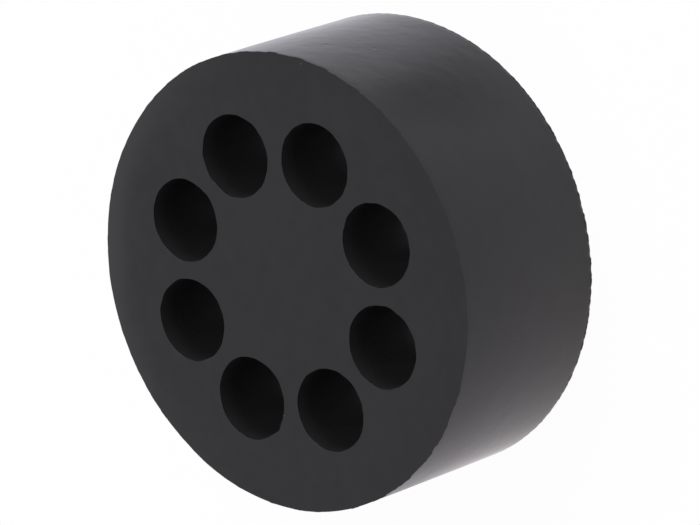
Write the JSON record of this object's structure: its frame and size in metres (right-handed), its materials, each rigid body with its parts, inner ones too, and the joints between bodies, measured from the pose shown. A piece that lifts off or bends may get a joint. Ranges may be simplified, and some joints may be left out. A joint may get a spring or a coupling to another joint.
{
  "type": "cable gland sealing insert",
  "caption": "Thick round rubber disc with a ring of equal through holes, which seals several cables inside one cable gland when it is squeezed.",
  "frame": {"origin": "middle of the rear face, on which the disc stands", "axes": "+Z along the disc's axis towards the front face, +X through the centre of the first cable hole"},
  "size_m": [0.033, 0.033, 0.014],
  "materials": {
    "rubber": "matte black, smooth moulded faces"
  },
  "bodies": {
    "root": {"sealing_insert": "rubber"}
  },
  "joints": []
}
